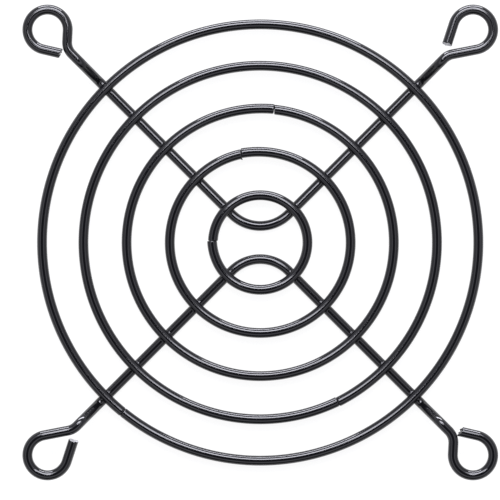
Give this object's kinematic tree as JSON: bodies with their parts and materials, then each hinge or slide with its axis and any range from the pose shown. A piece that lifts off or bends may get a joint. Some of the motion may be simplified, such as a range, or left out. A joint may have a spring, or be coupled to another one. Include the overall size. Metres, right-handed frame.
{
  "type": "wire fan guard",
  "caption": "Round wire finger guard for a square fan: concentric wire rings welded on two bent support wires that end in screw eyelets.",
  "frame": {"origin": "on the fan's axis, in the plane that the support wires lie on", "axes": "+Z along the fan's axis, towards the fan; +X and +Y along the sides of the square of screw holes, with the upper support wire on the +Y side"},
  "size_m": [0.08, 0.08, 0.0061],
  "materials": {
    "black_coat": "glossy black coat on steel wire"
  },
  "bodies": {
    "root": {"upper_support_wire": "black_coat", "lower_support_wire": "black_coat", "inner_ring": "black_coat", "second_ring": "black_coat", "third_ring": "black_coat", "fourth_ring": "black_coat", "outer_ring": "black_coat"}
  },
  "joints": []
}
